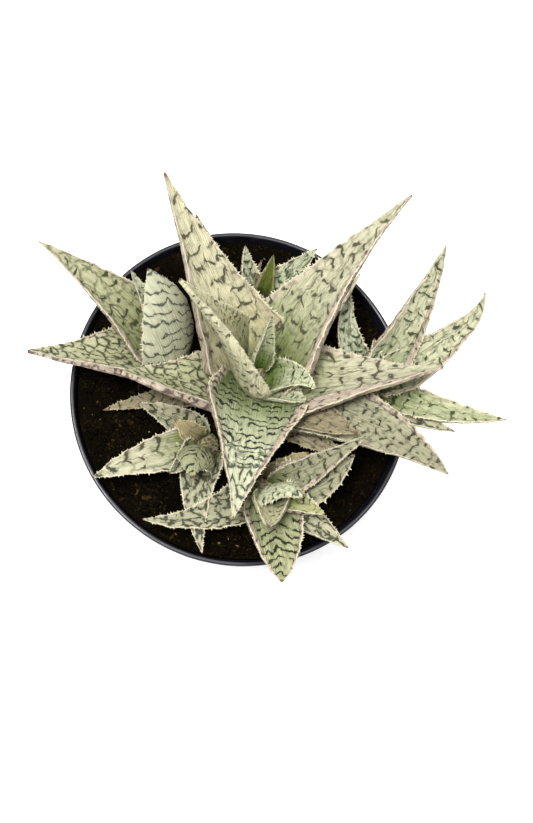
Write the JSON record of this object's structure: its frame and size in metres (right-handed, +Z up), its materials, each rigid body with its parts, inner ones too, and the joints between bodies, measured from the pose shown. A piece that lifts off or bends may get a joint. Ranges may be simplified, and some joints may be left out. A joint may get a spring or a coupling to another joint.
{
  "type": "potted blizzard aloe",
  "caption": "Clustered rosettes of stiff, channelled, pale green mottled leaves with toothed margins, growing in potting mix in a round tapered black nursery pot.",
  "frame": {"origin": "centre of the flat underside of the pot", "axes": "+Z up; +X to the right and +Y away from the viewer who looks down on the plant from the front"},
  "size_m": [0.209, 0.169, 0.19],
  "materials": {
    "pot": "thin black moulded polypropylene, semi-gloss, with a bluish highlight along the lip",
    "soil": "damp near-black potting mix with brown fibres, bark chips and a few white grains",
    "stem": "fleshy olive green stem, satin",
    "leaf": "waxy pale whitish green with dark green-grey netted lines and whitish toothed margins",
    "dry_leaf": "old leaf gone brown and papery, with traces of the pale marking",
    "green_leaf": "plain deep green juvenile leaf, glossy"
  },
  "bodies": {
    "root": {"pot": "pot", "soil": "soil", "main_stem": "stem", "west_stem": "stem", "southwest_stem": "stem", "south_stem": "stem", "east_stem": "stem", "north_stem": "stem", "main_leaf_core": "leaf", "main_leaf_inner_east": "leaf", "main_leaf_inner_sheath": "leaf", "main_leaf_inner_west": "leaf", "main_leaf_south": "leaf", "main_leaf_north_east": "leaf", "main_leaf_east": "leaf", "main_leaf_north_west": "leaf", "main_leaf_west": "leaf", "main_leaf_tucked": "leaf", "main_leaf_old_grey": "leaf", "main_leaf_south_east": "leaf", "main_leaf_old_dark": "dry_leaf", "main_leaf_old_west": "dry_leaf", "main_leaf_north": "leaf", "west_leaf_striped": "leaf", "west_leaf_slim": "leaf", "west_leaf_north_west": "leaf", "west_leaf_long": "leaf", "southwest_leaf_core": "leaf", "southwest_leaf_small": "leaf", "southwest_leaf_west": "leaf", "southwest_leaf_south": "leaf", "southwest_leaf_broad": "leaf", "southwest_leaf_dry": "dry_leaf", "south_leaf_hood": "leaf", "south_leaf_core": "leaf", "south_leaf_inner": "leaf", "south_leaf_front": "leaf", "south_leaf_east": "leaf", "south_leaf_south_east": "leaf", "south_leaf_west": "leaf", "south_leaf_under": "leaf", "south_leaf_crumpled": "dry_leaf", "east_leaf_small": "leaf", "east_leaf_north": "leaf", "east_leaf_hooked": "leaf", "east_leaf_long": "leaf", "east_leaf_low": "leaf", "east_leaf_behind": "leaf", "north_leaf_green": "green_leaf", "north_leaf_dried": "dry_leaf", "north_leaf_west": "leaf", "north_leaf_east": "leaf", "north_leaf_thin": "leaf"}
  },
  "joints": []
}
